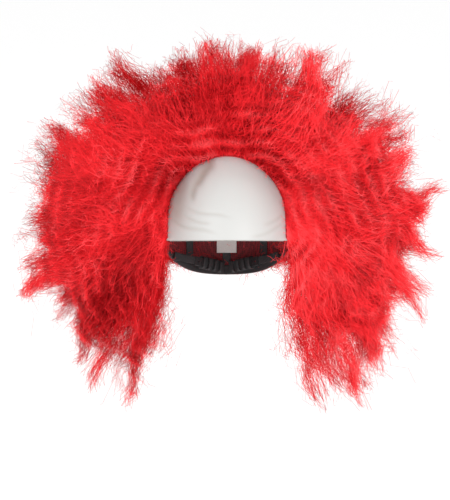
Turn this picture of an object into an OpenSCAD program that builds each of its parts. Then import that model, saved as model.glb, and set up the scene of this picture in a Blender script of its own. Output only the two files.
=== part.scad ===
// Costume wig: a smooth bald forehead panel in front of a wefted cap that carries a very full,
// crimped head of hair. The wearer faces -Y and +Z is up, so the wearer's left is +X.
// The origin is the middle of the head opening, level with the wearer's eyes.

/* [Head opening] */
// Half of the cap's inner width, at the ears
head_half_width = 81; // [76:1:86]
// Half of the cap's inner length, from forehead to back
head_half_length = 101; // [95:1:107]
// Height of the crown above the head opening, inside
crown_height = 124; // [116:1:132]
// How far below the head opening the back of the head rounds in
nape_drop = 105; // [98:1:112]

/* [Forehead panel] */
// Thickness of the stretch fabric of the bald panel
panel_t = 1.2; // [0.8:0.1:1.3]
// Height of the middle of the front hem above the head opening
hem_height = 50; // [42:1:56]
// Slope of the hem plane, down towards the ears
hem_slope = 17; // [12:1:20]
// Turn of the hairline at the top of the arch, from straight ahead
arch_top = 86; // [80:0.5:90]
// Turn of the hairline's sides, from the middle
arch_side = 54.5; // [48:0.5:57]
// Squareness of the arch, where 2 is an ellipse
arch_power = 4.5; // [3:0.1:6]
// Width of the folded hem
hem_w = 9; // [6:0.5:12]

/* [Cap] */
// Thickness of the crown net
net_t = 1.2; // [0.8:0.1:1.4]
// Turn of the ear edge, from the middle
ear_edge = 78; // [75:0.5:80]
// Turn of the nape edge at the middle, from straight ahead over the top
nape_edge = 207; // [202:1:210]
// Rise of the nape edge from the middle up to the ears, as a turn
nape_rise = 45; // [38:1:50]
// Thickness of the tapes and bands inside the cap
tape_t = 1.1; // [0.7:0.1:1.2]
// Width of the tapes from front to back
tape_w = 10; // [6:1:13]
// Width of the bands round the ears and the nape
band_w = 11; // [8:1:13]

/* [Wefts] */
// Thickness of a sewn weft
weft_t = 2; // [1.4:0.1:2.4]
// Width of a sewn weft
weft_w = 6; // [4:0.5:8]
// Number of weft rows from ear to ear behind the hairline
weft_rows = 7; // [5:1:8]
// Turn from the top of the hairline back to the first of those rows
first_row = 14; // [10:1:18]

/* [Hair] */
// Reach of the hair to the wearer's left, from the middle
hair_left = 250; // [215:1:290]
// Reach of the hair to the wearer's right, from the middle
hair_right = 230; // [200:1:265]
// Reach of the side hair in front of the ears
hair_front = 95; // [82:1:110]
// Reach of the hair behind the ears
hair_back = 212; // [185:1:245]
// Height of the widest level of the hair above the head opening
hair_middle = 30; // [24:1:36]
// Top of the hair above the head opening
hair_top = 250; // [215:1:290]
// Lowest ends of the side locks below the head opening
lock_drop = 166; // [140:1:190]
// Lowest ends of the back hair below the head opening
back_drop = 74; // [64:1:88]
// Share of a lock's thickness left at its outer end
lock_taper = 0.74; // [0.6:0.01:0.9]

/* [Adjusters] */
// Length of each elastic strap, relaxed
strap_len = 24; // [20:1:28]
// Width of each elastic strap
strap_w = 9; // [7:0.5:10]
// Thickness of each elastic strap
strap_t = 1; // [0.8:0.1:1.2]
// Length of each plastic hook
hook_len = 14; // [12:0.5:16]
// Distance from one loop to the next
loop_pitch = 8; // [7:0.5:8.5]
// Number of loops on each tape
loop_count = 4; // [3:1:4]

/* [Ear tabs] */
// Length of each ear tab below the cap's edge
tab_len = 27; // [22:1:32]
// Width of each ear tab
tab_w = 20; // [16:1:24]

/* [Label] */
// Width of the blank label at the back
label_w = 24; // [16:1:30]
// Height of the label
label_h = 15; // [10:1:18]

/* [Hidden] */
layer_gap = 0.5;                       // between layers of the cap
inside = -layer_gap;                   // outer side of the tapes under the net
outside = max(net_t, panel_t) + 0.4;   // inner side of what is sewn on top
edge_gap = 1.2;                        // turn between panel and net, under the binding
hair_root = outside + weft_t + 1.9;    // inner side of the hair, above the wefts
lock_gap = 0.5;                        // turn between neighbouring locks
level_gap = 0.7;                       // height between neighbouring tiers of hair
top_level = crown_height + hair_root + 1.5;
face_clear = 0.82;                     // waist of the hair beside the face, as a share of the cap
binding_t = 1.1;
row_edge = 6;                          // turn from the last weft row to the nape edge
ear_clear = 6;                         // turn from the ends of the rows to the ear edge
temple_rows = [64, 77, 90];            // turns of the short rows behind each temple
tape_turn = 34;                        // turn of the side tapes from the middle
tape_start_turn = 5;                   // turn from the hairline to the tapes' front ends
tape_end_turn = 2;                     // turn from the tapes' back ends to the nape band
nape_end = 62;                         // turn of the nape band's ends from the middle
ear_band_turn = 7;                     // width of an ear band, as a turn

// The hem lies in a plane; its height along that plane's normal, and how it meets the cap.
hem_y = -head_half_length * sqrt(1 - pow(hem_height / crown_height, 2));
hem_level = hem_height * cos(hem_slope) + hem_y * sin(hem_slope);
hem_reach = norm([crown_height * cos(hem_slope), head_half_length * sin(hem_slope)]);
hem_phase = atan2(head_half_length * sin(hem_slope), crown_height * cos(hem_slope));

LEFT = 1;
RIGHT = -1;

// Each lock of hair: its name, its tier from the lowest up, and its azimuths from straight
// ahead. A start of 0 follows the hairline.
LOCKS = [
    ["crown_front", 4, 1, 89], ["crown_back", 4, 89, 180],
    ["upper_side", 3, 0, 128], ["upper_back", 3, 128, 180],
    ["puff_front", 2, 0, 94], ["puff_rear", 2, 94, 137], ["puff_back", 2, 137, 180],
    ["fall_front", 1, 62, 98], ["fall_rear", 1, 98, 137], ["fall_back", 1, 137, 180],
    ["lock_front", 0, 63, 87], ["lock_rear", 0, 87, 112]
];
SIDES = [["left", LEFT], ["right", RIGHT]];

WEFTS = [for (i = [1:weft_rows]) str("weft_row_", i)];

// ---- geometry of the cap ----
// A point of the cap at turn lam from the middle plane and turn phi from straight ahead over
// the top, at a distance off outside the head.
function drop(phi) = sin(phi) >= 0 ? crown_height : nape_drop;
function on_cap(lam, phi, off) = [
    (head_half_width + off) * sin(lam),
    -(head_half_length + off) * cos(lam) * cos(phi),
    (drop(phi) + off) * cos(lam) * sin(phi)
];
function spread(a, b, n) = [for (i = [0:n]) a + (b - a) * i / n];
function degrees_of(length) = length / head_half_length * 180 / PI;

function hem_phi(lam) = hem_phase + asin(min(0.96, hem_level / (hem_reach * cos(lam))));
function squareness(x) = pow(max(0, 1 - pow(abs(x), arch_power)), 1 / arch_power);
function arch_phi(lam, grow) =
    let (rise = arch_top - hem_phi(0) + grow)
    hem_phi(lam) + rise * squareness(lam / (arch_side + grow));
function nape_phi(lam) = nape_edge - nape_rise * pow(abs(lam) / ear_edge, 4);

// A solid between two matching grids of points, given as rows.
module between(inner, outer) {
    rows = len(inner);
    cols = len(inner[0]);
    size = rows * cols;
    function at(r, c) = r * cols + c;
    function quad(a, b, c, d) = [[a, b, c], [a, c, d]];
    points = [for (g = [inner, outer]) for (row = g) for (p = row) p];
    faces = concat(
        [for (r = [0:rows - 2]) for (c = [0:cols - 2])
            each quad(at(r, c), at(r, c + 1), at(r + 1, c + 1), at(r + 1, c))],
        [for (r = [0:rows - 2]) for (c = [0:cols - 2])
            each quad(size + at(r, c), size + at(r + 1, c),
                      size + at(r + 1, c + 1), size + at(r, c + 1))],
        [for (c = [0:cols - 2])
            each quad(at(0, c), size + at(0, c), size + at(0, c + 1), at(0, c + 1))],
        [for (c = [0:cols - 2])
            each quad(at(rows - 1, c), at(rows - 1, c + 1),
                      size + at(rows - 1, c + 1), size + at(rows - 1, c))],
        [for (r = [0:rows - 2])
            each quad(at(r, 0), at(r + 1, 0), size + at(r + 1, 0), size + at(r, 0))],
        [for (r = [0:rows - 2])
            each quad(at(r, cols - 1), size + at(r, cols - 1),
                      size + at(r + 1, cols - 1), at(r + 1, cols - 1))]
    );
    polyhedron(points, faces);
}

// A sheet over a grid of [lam, phi] places on the cap, between two distances from the head.
module sheet(places, low, high) {
    between([for (row = places) [for (p = row) on_cap(p[0], p[1], low)]],
            [for (row = places) [for (p = row) on_cap(p[0], p[1], high)]]);
}

// Places of a patch whose phi runs between two given values at each lam.
function patch(lams, starts, ends, n) = [for (i = [0:len(lams) - 1])
    [for (phi = spread(starts[i], ends[i], n)) [lams[i], phi]]];

// Turns that crowd towards the arch's sides, where the hairline is steep.
function arch_lams(side, n) = [for (i = [-n:n]) 0.999 * side * sin(90 * i / n)];

module mirrored(side) {
    if (side == LEFT) children();
    else mirror([1, 0, 0]) children();
}

// ---- forehead panel ----
module bald_front() {
    lams = arch_lams(arch_side, 11);
    color("whitesmoke")
        sheet(patch(lams, [for (l = lams) hem_phi(l)], [for (l = lams) arch_phi(l, 0)], 14),
              0, panel_t);
}

// The hem, folded to the inside of the panel.
module front_hem() {
    lams = spread(-arch_side + 1, arch_side - 1, 18);
    color("gainsboro")
        sheet(patch(lams, [for (l = lams) hem_phi(l)],
                    [for (l = lams) hem_phi(l) + degrees_of(hem_w)], 1),
              inside - tape_t, inside);
}

// A strip along the hairline, from low to high turns outside the arch.
module along_arch(low, high, inner, outer) {
    function place(t, grow) = let (
            reach = pow(pow(abs(cos(t)), arch_power) + pow(sin(t), arch_power), 1 / arch_power),
            lam = (arch_side + grow) * cos(t) / reach,
            rise = (arch_top - hem_phi(0) + grow) * sin(t) / reach
        ) [lam, hem_phi(lam) + rise];
    sheet([for (t = spread(178, 2, 56)) [place(t, low), place(t, high)]], inner, outer);
}

// The narrow cover of the seam between panel and net.
module hairline_binding() {
    color("darkred") along_arch(-1, 2.4, outside, outside + binding_t);
}

module hairline_weft() {
    color("firebrick")
        along_arch(3.2, 3.2 + degrees_of(weft_w), outside, outside + weft_t);
}

// ---- cap ----
// The stretch net that carries the wefts: from the hairline over the top to the nape.
module crown_net() {
    edge = arch_side + edge_gap;
    middle = arch_lams(edge, 13);
    outer = spread(edge + 0.4, ear_edge, 5);
    flipped = [for (i = [5:-1:0]) -outer[i]];
    lams = concat(flipped, middle, outer);
    starts = [for (l = lams) abs(l) < edge ? arch_phi(l, edge_gap) : hem_phi(l)];
    color("maroon")
        sheet(patch(lams, starts, [for (l = lams) nape_phi(l)], 18), 0, net_t);
}

module tape(lam, start) {
    half = tape_w / 2 / head_half_width * 180 / PI;
    lams = [lam - half, lam, lam + half];
    end = nape_phi(lam) - degrees_of(band_w) - tape_end_turn;
    color("black")
        sheet(patch(lams, [for (l = lams) start], [for (l = lams) end], 16),
              inside - tape_t, inside);
}

module centre_tape() { tape(0, arch_top + tape_start_turn); }
module side_tape(side) { tape(side * tape_turn, arch_top + tape_start_turn); }

module nape_band() {
    lams = spread(-nape_end, nape_end, 24);
    color("dimgray")
        sheet(patch(lams, [for (l = lams) nape_phi(l) - degrees_of(band_w)],
                    [for (l = lams) nape_phi(l)], 2), inside - tape_t, inside);
}

// The band over each ear, between the temple and the nape band.
module ear_band(side) {
    lams = spread(ear_edge - ear_band_turn, ear_edge, 2);
    color("dimgray") mirrored(side)
        sheet(patch(lams, [for (l = lams) hem_phi(l)], [for (l = lams) nape_phi(l)], 10),
              inside - tape_t, inside);
}

// ---- wefts ----
row_start = arch_top + first_row;
function row_phi(i) = row_start + (i - 1) * (nape_edge - row_edge - row_start) / (weft_rows - 1);
function row_reach(phi) = min(ear_edge - ear_clear,
    ear_edge * pow(max(0.02, (nape_edge - phi - row_edge + 1) / nape_rise), 0.25));

// One row of hair roots, from ear to ear.
module weft_row(i) {
    half = degrees_of(weft_w) / 2;
    phi = row_phi(i);
    lams = spread(-row_reach(phi), row_reach(phi), 20);
    color("firebrick")
        sheet(patch(lams, [for (l = lams) phi - half], [for (l = lams) phi + half], 1),
              outside, outside + weft_t);
}

// Three short rows between the hairline and the ear.
module temple_wefts(side) {
    half = degrees_of(weft_w) / 2;
    lams = spread(arch_side + 9.5, ear_edge - 3, 3);
    color("firebrick") mirrored(side) for (phi = temple_rows)
        sheet(patch(lams, [for (l = lams) phi - half], [for (l = lams) phi + half], 1),
              outside, outside + weft_t);
}

// ---- ear tabs, with a bendable stay sewn inside ----
tab_x = head_half_width * sin(ear_edge) + 0.3;
tab_top = on_cap(ear_edge, 90, 0)[2] - 2.5;
tab_y = -9;

// An outline in the plane beside the head, as wide as w and as long as l, rounded below.
module tab_outline(w, l) {
    hull() {
        translate([-w / 2, -1]) square([w, 1]);
        translate([0, w / 2 - l]) circle(d = w, $fn = 48);
    }
}

module beside_head(side, x, thick) {
    mirrored(side) translate([x, tab_y, tab_top]) rotate([90, 0, 90])
        linear_extrude(height = thick) children();
}

module ear_tab(side) {
    color("black") beside_head(side, tab_x, 1) tab_outline(tab_w, tab_len);
}

module ear_stay(side) {
    color("gray") translate([0, 0, -4])
        beside_head(side, tab_x - 0.7, 0.7) tab_outline(tab_w / 4, tab_len - 8);
}

// ---- nape adjusters: an elastic strap, a hook and a tape of loops on each side ----
hook_t = 2;
hook_w = strap_w + 1.5;
hook_start = strap_len - 2;
hook_nose = hook_start + hook_len;
loop_len = 3;
first_loop = hook_nose - loop_len;
loop_t = 0.7;
loop_clear = 0.7;                      // round the hook, inside a loop
tape_start = first_loop - 3;
tape_len = loop_count * loop_pitch + 3;
base_t = 0.8;
loops_w = hook_w + 2 * loop_clear + 2 * loop_t;
sewn_len = 7;                          // end of the strap that is sewn to the nape band
sewn_t = strap_t + 0.8;
hole_d = 2;
hole_from = 5;                         // from the hook's back end to the middle of its hole
barb_t = 0.5;
barb_len = 1.5;
barb_from = 5;                         // from the hook's nose to the back of its barb
tape_edge = 1;                         // selvedge of the loops' base, beyond each loop
adjuster_len = sewn_len + tape_start + tape_len + 2.5;

// The adjuster is a chord along the nape band, whose ends keep clear of the band's inner side.
band_inside = inside - tape_t;
seat_gap_mid = 1;                      // from the band to the loops' base, at the middle
seat_gap_end = 0.7;                    // from the band to the strap's sewn end
seat_lift = 1;                         // turn of the adjuster above the band's middle line
seat_mid = band_inside - (hook_t / 2 + loop_clear + base_t) - seat_gap_mid;
seat_end = band_inside - sewn_t / 2 - seat_gap_end;
function on_band(lam, off) = on_cap(lam, nape_phi(lam) - degrees_of(band_w) / 2 - seat_lift, off);
mid_end = on_band(0, seat_mid);
function end_turn(low, high, n) = let (m = (low + high) / 2)
    n == 0 ? m : norm(on_band(m, seat_end) - mid_end) < adjuster_len
        ? end_turn(m, high, n - 1) : end_turn(low, m, n - 1);
sewn_turn = end_turn(20, 75, 20);
sewn_end = on_band(sewn_turn, seat_end);

// The adjuster's own frame: X runs from the anchor to the middle, Z is up along the head, and
// +Y is inwards. The anchor is where the strap leaves its sewn end.
function unit(v) = v / norm(v);
along = unit(mid_end - sewn_end);
beside = on_band(sewn_turn / 2, 0);
outwards = [beside[0] / pow(head_half_width, 2), beside[1] / pow(head_half_length, 2),
            beside[2] / pow(nape_drop, 2)];
inwards = -unit(outwards - (outwards * along) * along);
upwards = cross(along, inwards);
anchor = sewn_end + sewn_len * along;

module adjuster(side) {
    mirrored(side) multmatrix([for (i = [0:2]) [along[i], inwards[i], upwards[i], anchor[i]]])
        children();
}

module block(x, y, z, size) { translate([x, y, z - size[2] / 2]) cube(size); }

module elastic_strap(side) {
    color("dimgray") adjuster(side) {
        block(0, -strap_t / 2, 0, [strap_len, strap_t, strap_w]);
        block(-sewn_len, -sewn_t / 2, 0, [sewn_len, sewn_t, strap_w + 1]);
    }
}

module strap_hook(side) {
    color("black") adjuster(side) difference() {
        union() {
            block(hook_start, -hook_t / 2, 0, [hook_len, hook_t, hook_w]);
            block(hook_nose - barb_from, hook_t / 2, 0, [barb_len, barb_t, hook_w / 2]);
        }
        block(hook_start - 1, -strap_t / 2, 0, [strap_len - hook_start + 1, strap_t, strap_w]);
        translate([hook_start + hole_from, 0, 0]) rotate([90, 0, 0])
            cylinder(d = hole_d, h = hook_t * 2, center = true, $fn = 32);
    }
}

module loop_tape(side) {
    depth = hook_t + 2 * loop_clear;
    outer = [loop_len, depth + loop_t, loops_w];
    color("black") adjuster(side) {
        block(tape_start, -depth / 2 - base_t, 0, [tape_len, base_t, loops_w + 2 * tape_edge]);
        for (i = [0:loop_count - 1]) difference() {
            block(first_loop + i * loop_pitch, -depth / 2, 0, outer);
            block(first_loop + i * loop_pitch - 1, -depth / 2, 0,
                  [loop_len + 2, depth, hook_w + 2 * loop_clear]);
        }
    }
}

// A blank label at the back, above the nape and in front of the middle tape.
label_t = 0.5;
label_middle = -14;
label_low = label_middle - label_h / 2;
label_y = (head_half_length + band_inside) * cos(asin(label_low / nape_drop))
    * cos(asin(label_w / 2 / head_half_width)) - label_t - 0.4;
module care_label() {
    color("white") translate([0, label_y, label_middle])
        cube([label_w, label_t, label_h], center = true);
}

// ---- hair ----
// The hair's outline at height z: an ellipse, wider on one side and deeper at the back.
top_round = 2;                         // how far above the hair the ellipse would close
bottom_round = 32;                     // and how far below the side locks
function swell(z) = sqrt(max(0.02, 1 - pow(z > hair_middle
    ? (z - hair_middle) / (hair_top - hair_middle + top_round)
    : (hair_middle - z) / (hair_middle + lock_drop + bottom_round), 2)));
// Above the forehead the hair leans back, so that the hairline shows.
brow_start = 24;
function brow(z) = z < top_level ? hair_front
    : min(hair_front, brow_start + 2 * (z - top_level));
function hair_r(side, az, z) = let (
        across = (side == LEFT ? hair_left : hair_right) * swell(z),
        along = (az < 90 ? brow(z) : hair_back) * swell(z)
    ) 1 / norm([sin(az) / across, cos(az) / along]);

// The cap's outline under the hair, which keeps clear of the face and neck lower down.
function scalp(z) = z >= 0
    ? sqrt(max(0, 1 - pow(z / (crown_height + hair_root), 2)))
    : max(face_clear, sqrt(max(0, 1 - pow(z / (nape_drop + hair_root), 2))));
function root_r(az, z) = max(1, scalp(z)
    / norm([sin(az) / (head_half_width + hair_root), cos(az) / (head_half_length + hair_root)]));

// The hairline's azimuth at height z: it starts at the temples and turns in to the crown.
temple_az = 58;
temple_z = 24;
crown_az = 85;
function hairline(z) = temple_az
    + (crown_az - temple_az) * pow(max(0, z - temple_z) / (crown_height - temple_z), 1.2);

function along_scalp(low, high, n) = let (top = crown_height + hair_root)
    [for (a = spread(asin(low / top), asin(min(1, high / top)), n)) top * sin(a)];
tier_low = [-lock_drop, -back_drop, 19, 84, top_level];   // lowest height of each tier
function levels(tier) = tier == 4 ? [for (a = spread(0, 88, 7))
        top_level + (hair_top - top_level) * sin(a)]
    : tier >= 2 ? along_scalp(tier_low[tier], min(tier_low[tier + 1] - level_gap,
        (crown_height + hair_root) * 0.99), 5)
    : spread(tier_low[tier], tier_low[tier + 1] - level_gap, 4);

module lock_of_hair(side, tier, from, until) {
    heights = levels(tier);
    last = len(heights) - 1;
    mid = (heights[0] + heights[last]) / 2;
    pinch = tier == 4 ? 1 : lock_taper;
    starts = [for (z = heights) from > 0 ? from : hairline(z)];
    to = until - lock_gap;
    n = ceil((to - max(from, temple_az)) / 9);
    function place(az, z, r) = [side * r * sin(az), -r * cos(az), z];
    function turned(i, az) = let (m = (starts[i] + to) / 2) m + (az - m) * lock_taper;
    roots = [for (i = [0:last]) [for (az = spread(starts[i], to, n))
        place(az, heights[i], root_r(az, heights[i]))]];
    tips = [for (i = [0:last]) let (z = mid + (heights[i] - mid) * pinch)
        [for (az = spread(starts[i], to, n))
            place(turned(i, az), z, hair_r(side, turned(i, az), z))]];
    color(tier % 2 == 0 ? "red" : "crimson")
        if (side == LEFT) between(tips, roots); else between(roots, tips);
}

// ---- the part ----
bald_front();
front_hem();
hairline_binding();
crown_net();
nape_band();
centre_tape();
hairline_weft();
care_label();
for (i = [1:weft_rows])
    weft_row(i);
for (s = SIDES) {
    side_tape(s[1]);
    ear_band(s[1]);
    temple_wefts(s[1]);
    ear_tab(s[1]);
    ear_stay(s[1]);
    loop_tape(s[1]);
    elastic_strap(s[1]);
    strap_hook(s[1]);
    for (k = LOCKS)
        lock_of_hair(s[1], k[1], k[2], k[3]);
}
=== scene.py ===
"""Costume wig: crimped red hair round a smooth bald forehead panel, on a wefted cap."""
import math

import bpy
import numpy as np
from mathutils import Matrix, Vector


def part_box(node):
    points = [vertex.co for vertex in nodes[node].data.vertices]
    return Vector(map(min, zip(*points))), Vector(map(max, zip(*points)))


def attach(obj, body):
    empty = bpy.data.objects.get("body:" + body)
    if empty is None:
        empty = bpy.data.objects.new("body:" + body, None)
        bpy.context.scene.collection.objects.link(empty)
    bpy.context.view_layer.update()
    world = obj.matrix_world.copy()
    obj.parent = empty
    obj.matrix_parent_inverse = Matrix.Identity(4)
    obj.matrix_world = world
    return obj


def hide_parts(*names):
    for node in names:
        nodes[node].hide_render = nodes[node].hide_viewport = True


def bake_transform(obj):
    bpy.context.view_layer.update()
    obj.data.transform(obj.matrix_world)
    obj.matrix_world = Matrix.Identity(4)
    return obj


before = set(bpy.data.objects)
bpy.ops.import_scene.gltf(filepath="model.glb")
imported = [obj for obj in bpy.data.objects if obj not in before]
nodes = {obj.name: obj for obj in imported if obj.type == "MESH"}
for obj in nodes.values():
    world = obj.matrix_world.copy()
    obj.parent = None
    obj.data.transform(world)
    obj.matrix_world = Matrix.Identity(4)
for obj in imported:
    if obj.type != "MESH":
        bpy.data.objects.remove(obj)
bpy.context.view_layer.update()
rng = np.random.default_rng(11)
MM = 0.001
SIDES = {"left": 1.0, "right": -1.0}
WHOLE_WAVE = 6.283
# The least flat width of a sheet, in metres.
LEAST_FLAT = 0.0101

# ---- the cap's shape, in millimetres and degrees, as in the CAD source ----
HALF_W, HALF_L, CROWN, NAPE = 81.0, 101.0, 124.0, 105.0
HEM_H, HEM_SLOPE = 50.0, math.radians(17.0)
ARCH_TOP, ARCH_SIDE, ARCH_POWER = 86.0, 54.5, 4.5
NAPE_EDGE, NAPE_RISE, EAR_EDGE = 207.0, 45.0, 78.0
HEM_Y = -HALF_L * math.sqrt(1 - (HEM_H / CROWN) ** 2)
HEM_LEVEL = HEM_H * math.cos(HEM_SLOPE) + HEM_Y * math.sin(HEM_SLOPE)
HEM_REACH = math.hypot(CROWN * math.cos(HEM_SLOPE), HALF_L * math.sin(HEM_SLOPE))
HEM_PHASE = math.degrees(math.atan2(HALF_L * math.sin(HEM_SLOPE), CROWN * math.cos(HEM_SLOPE)))


def on_cap(lam, phi, off):
    """Points of the cap in mm, for turns in degrees."""
    la, ph = np.radians(lam), np.radians(phi)
    drop = np.where(np.sin(ph) >= 0, CROWN, NAPE)
    return np.stack([
        (HALF_W + off) * np.sin(la),
        -(HALF_L + off) * np.cos(la) * np.cos(ph),
        (drop + off) * np.cos(la) * np.sin(ph)], -1)


def cap_normal(p):
    c = np.where(p[..., 2] >= 0, CROWN, NAPE)
    n = np.stack([p[..., 0] / HALF_W ** 2, p[..., 1] / HALF_L ** 2, p[..., 2] / c ** 2], -1)
    return n / np.linalg.norm(n, axis=-1, keepdims=True)


def hem_phi(lam):
    part = HEM_LEVEL / (HEM_REACH * np.cos(np.radians(lam)))
    return HEM_PHASE + np.degrees(np.arcsin(np.minimum(0.96, part)))


def arch_phi(lam, grow):
    rise = ARCH_TOP - hem_phi(0.0) + grow
    part = np.maximum(0, 1 - np.abs(lam / (ARCH_SIDE + grow)) ** ARCH_POWER)
    return hem_phi(lam) + rise * part ** (1 / ARCH_POWER)


def nape_phi(lam):
    return NAPE_EDGE - NAPE_RISE * (np.abs(lam) / EAR_EDGE) ** 4


def smooth(x, low, high):
    t = np.clip((x - low) / (high - low), 0, 1)
    return t * t * (3 - 2 * t)


def unit(v):
    return v / np.maximum(np.linalg.norm(v, axis=-1, keepdims=True), 1e-9)


# ---- mesh helpers ----
def make_mesh(name, verts, quads, uvs=None, attributes=None, normals=None):
    """A smooth quad mesh from arrays. uvs has one pair per vertex."""
    mesh = bpy.data.meshes.new(name)
    quads = np.asarray(quads, np.int32)
    mesh.vertices.add(len(verts))
    mesh.vertices.foreach_set("co", (np.asarray(verts) * MM).astype(np.float32).ravel())
    mesh.loops.add(quads.size)
    mesh.loops.foreach_set("vertex_index", quads.ravel())
    mesh.polygons.add(len(quads))
    mesh.polygons.foreach_set("loop_start", np.arange(0, quads.size, 4, dtype=np.int32))
    mesh.polygons.foreach_set("use_smooth", np.ones(len(quads), bool))
    mesh.update(calc_edges=True)
    if uvs is not None:
        layer = mesh.uv_layers.new(name="OFBake")
        layer.data.foreach_set("uv", uvs[quads.ravel()].astype(np.float32).ravel())
    for key, values in (attributes or {}).items():
        made = mesh.attributes.new(key, "FLOAT", "POINT")
        made.data.foreach_set("value", np.asarray(values, np.float32))
    if normals is not None:
        made = mesh.attributes.new("custom_normal", "FLOAT_VECTOR", "POINT")
        made.data.foreach_set("vector", np.asarray(normals, np.float32).ravel())
    obj = bpy.data.objects.new(name, mesh)
    bpy.context.scene.collection.objects.link(obj)
    return obj


def grid_quads(rows, cols, base=0):
    r, c = np.meshgrid(np.arange(rows - 1), np.arange(cols - 1), indexing="ij")
    a = base + r * cols + c
    return np.stack([a, a + 1, a + cols + 1, a + cols], -1).reshape(-1, 4)


# ---- materials ----
def new_material(name):
    mat = bpy.data.materials.new(name)
    mat.use_nodes = True
    tree = mat.node_tree
    return mat, tree, tree.nodes["Principled BSDF"]


def node(tree, kind, **values):
    made = tree.nodes.new(kind)
    for key, value in values.items():
        if hasattr(made, key):
            setattr(made, key, value)
        else:
            made.inputs[key.replace("_", " ")].default_value = value
    return made


def ramp(tree, source, stops):
    made = tree.nodes.new("ShaderNodeValToRGB")
    elements = made.color_ramp.elements
    while len(elements) < len(stops):
        elements.new(0.5)
    for element, (place, colour) in zip(elements, stops):
        element.position = place
        element.color = (*colour, 1)
    tree.links.new(source, made.inputs["Fac"])
    return made.outputs["Color"]


def hair_material():
    mat, tree, shader = new_material("crimped_hair")
    # tint holds the hair's own tone together with painted light and shade
    tint = node(tree, "ShaderNodeAttribute", attribute_name="tint")
    colour = ramp(tree, tint.outputs["Fac"], [
        (0.0, (0.36, 0.005, 0.008)), (0.3, (0.70, 0.010, 0.015)),
        (0.6, (0.98, 0.022, 0.031)), (1.0, (1.0, 0.10, 0.11))])
    tree.links.new(colour, shader.inputs["Base Color"])
    shader.inputs["Roughness"].default_value = 0.5
    shader.inputs["Specular IOR Level"].default_value = 0.15
    return mat


# ---- hair ----
# The middle that the hair stands out from, and half the size of the whole head of hair.
CENTRE = np.array([0.0, 10.0, 30.0])
BODY = np.array([230.0, 125.0, 230.0])
# The axis of the crimp's rings leans back by this cosine and sine. Distance along it counts less.
AXIS_COS, AXIS_SIN, AXIS_WEIGHT = 0.956, 0.292, 0.16
# Depth of the hair behind and before the middle.
DEPTH_BACK, DEPTH_FRONT = 200.0, 150.0
# Reach of the dense hair round the front view, by turns from straight up: minus is the wearer's right.
REACH_AT = [-180, -156, -149, -144, -137, -120, -105, -90, -75, -60, -45, -30, -15, 0,
            15, 30, 45, 60, 75, 90, 105, 120, 135, 143, 150, 180]
REACH = [150, 150, 168, 190, 220, 205, 208, 218, 222, 226, 230, 216, 208, 208,
         206, 212, 220, 218, 230, 226, 208, 194, 216, 208, 170, 150]
# The tufts that stand out of the front view's outline: turn from straight up, reach.
TUFTS = [(-8, 226), (-20, 222), (-36, 258), (-46, 246), (-55, 254), (-62, 240), (-68, 256),
         (-75, 244), (-84, 238), (-93, 234), (-101, 246), (-114, 222), (-125, 228), (-136, 248),
         (-146, 240), (-151, 182), (6, 222), (17, 214), (25, 248), (34, 244), (44, 240), (52, 254),
         (63, 238), (75, 274), (90, 262), (99, 260), (108, 258), (118, 228), (127, 222),
         (139, 264), (145, 250), (150, 252)]
# Darker and lighter patches, partly the hair's own tone and partly painted light and shade: painted
# shade under the overhanging layer, where the waves of both sides meet and beside the panel's arched
# edge, and painted light on the upper layer and towards the wearer's left. Columns: turn from straight
# up, distance from the middle, width, change of tint.
TONE_AND_SHADE_PATCHES = [(-12, 150, 34, -0.24), (3, 122, 18, -0.14), (20, 175, 26, -0.18), (-71, 168, 22, -0.18),
           (-98, 106, 18, -0.28), (-110, 130, 26, -0.22), (-124, 150, 34, -0.18), (-130, 190, 36, -0.14),
           (-140, 110, 22, -0.16), (-81, 138, 20, 0.14), (-82, 108, 16, 0.12), (-14, 106, 15, 0.22),
           (-44, 112, 24, 0.14), (12, 90, 7, -0.16), (25, 95, 8, -0.18), (40, 92, 8, -0.18),
           (53, 84, 7, -0.14), (-3, 90, 5, -0.16), (-3, 99, 5, -0.16), (-3, 108, 5, -0.16),
           (75, 150, 40, 0.06), (112, 175, 50, 0.08), (134, 200, 40, 0.10), (95, 90, 24, -0.05),
           (-70, 200, 40, -0.05), (-130, 170, 60, 0.05), (40, 190, 50, 0.03)]
# The two rows of tufts that make the outline: share of the way to the nape, added turn, reach.
TUFT_ROWS = ((0.03, 0, 1.0), (0.20, 4, 0.96))
BACK_TUFTS = 130
STRANDS, CLUMPS = 60000, 4000
FRIZZ, FRIZZ_STEPS, FRIZZ_STEP, FRIZZ_WIDTH = 190000, 5, 3.6, 0.40
# Length of a wave of the crimp in mm, and the most half waves along a strand.
WAVE, STEPS = 16.0, 27
# Roots lie in rows from minus to plus ROW_END, this far over the cap.
ROW_END, ROOT_LIFT = 88.0, 3.0
# Loose waves of a strand: length and size in mm.
LOOSE_WAVES = ((80.0, 3.2), (34.0, 2.6), (19.0, 1.8))
# The wig's least and greatest place along each axis, and the length over which hair bends back.
LIMITS, BEND = ((-252, 271), (-111, 227), (-185, 269)), 14
# The CAD locks: from and up to which height, and up to which turn from the front each one lies.
LOCK_PLACES = (
    (131, 1e3, (("crown_front", 89), ("crown_back", 181))),
    (84, 131, (("upper_side", 128), ("upper_back", 181))),
    (19, 84, (("puff_front", 94), ("puff_rear", 137), ("puff_back", 181))),
    (-45, 19, (("fall_front", 98), ("fall_rear", 137), ("fall_back", 181))),
    (-1e3, -45, (("lock_front", 87), ("lock_rear", 181))))


def ring(p):
    """Distance of points from the axis of the crimp's rings, which runs from the brow back and down."""
    d = p - CENTRE
    flat = d[..., 0] ** 2 + (AXIS_COS * d[..., 2] + AXIS_SIN * d[..., 1]) ** 2
    return np.sqrt(flat + AXIS_WEIGHT * (AXIS_COS * d[..., 1] - AXIS_SIN * d[..., 2]) ** 2)


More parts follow.
